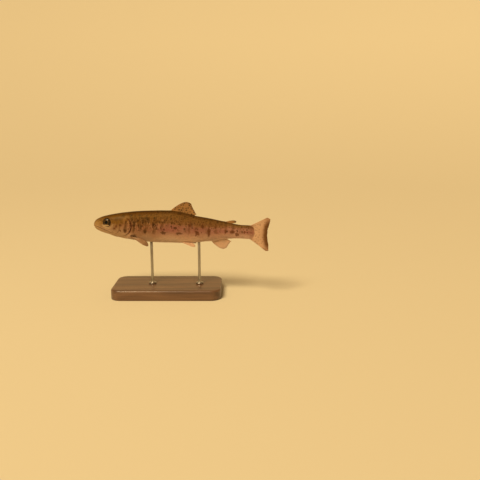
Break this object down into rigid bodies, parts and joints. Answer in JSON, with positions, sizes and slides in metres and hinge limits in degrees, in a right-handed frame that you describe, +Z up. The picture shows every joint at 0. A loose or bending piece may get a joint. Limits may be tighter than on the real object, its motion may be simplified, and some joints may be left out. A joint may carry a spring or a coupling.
{
  "type": "rainbow trout model",
  "caption": "Life-size still model of a young rainbow trout, swimming with its tail bent to the left, held by two metal rods on a flat wooden base.",
  "frame": {"origin": "middle of the stand's flat underside, on the floor", "axes": "+Z up, the fish faces -X with its tail towards +X and its left side towards -Y"},
  "size_m": [0.2409, 0.076, 0.1287],
  "materials": {
    "skin": "moist satin fish skin and scales: olive-brown spotted back, rose band along the side, tan and cream belly",
    "gill_cover": "smooth moist skin over bone, with a rose and silver tinge",
    "fin": "thin rayed skin, dusky and spotted on the back and tail, pinkish below",
    "eye": "wet and glossy, golden-brown iris with a pale lower rim and a black pupil",
    "stand_wood": "dark oiled hardwood with a fine grain",
    "stand_metal": "brushed"
  },
  "bodies": {
    "root": {"head": "skin", "lower_jaw": "skin", "maxilla_left": "gill_cover", "maxilla_right": "gill_cover", "gill_cover_left": "gill_cover", "gill_cover_right": "gill_cover", "eye_left": "eye", "eye_right": "eye", "trunk_front": "skin", "trunk_rear": "skin", "tail_stalk": "skin", "fin_dorsal": "fin", "fin_adipose": "fin", "fin_caudal": "fin", "fin_anal": "fin", "fin_pectoral_left": "fin", "fin_pectoral_right": "fin", "fin_pelvic_left": "fin", "fin_pelvic_right": "fin", "stand_base": "stand_wood", "stand_rod_front": "stand_metal", "stand_rod_rear": "stand_metal"}
  },
  "joints": []
}
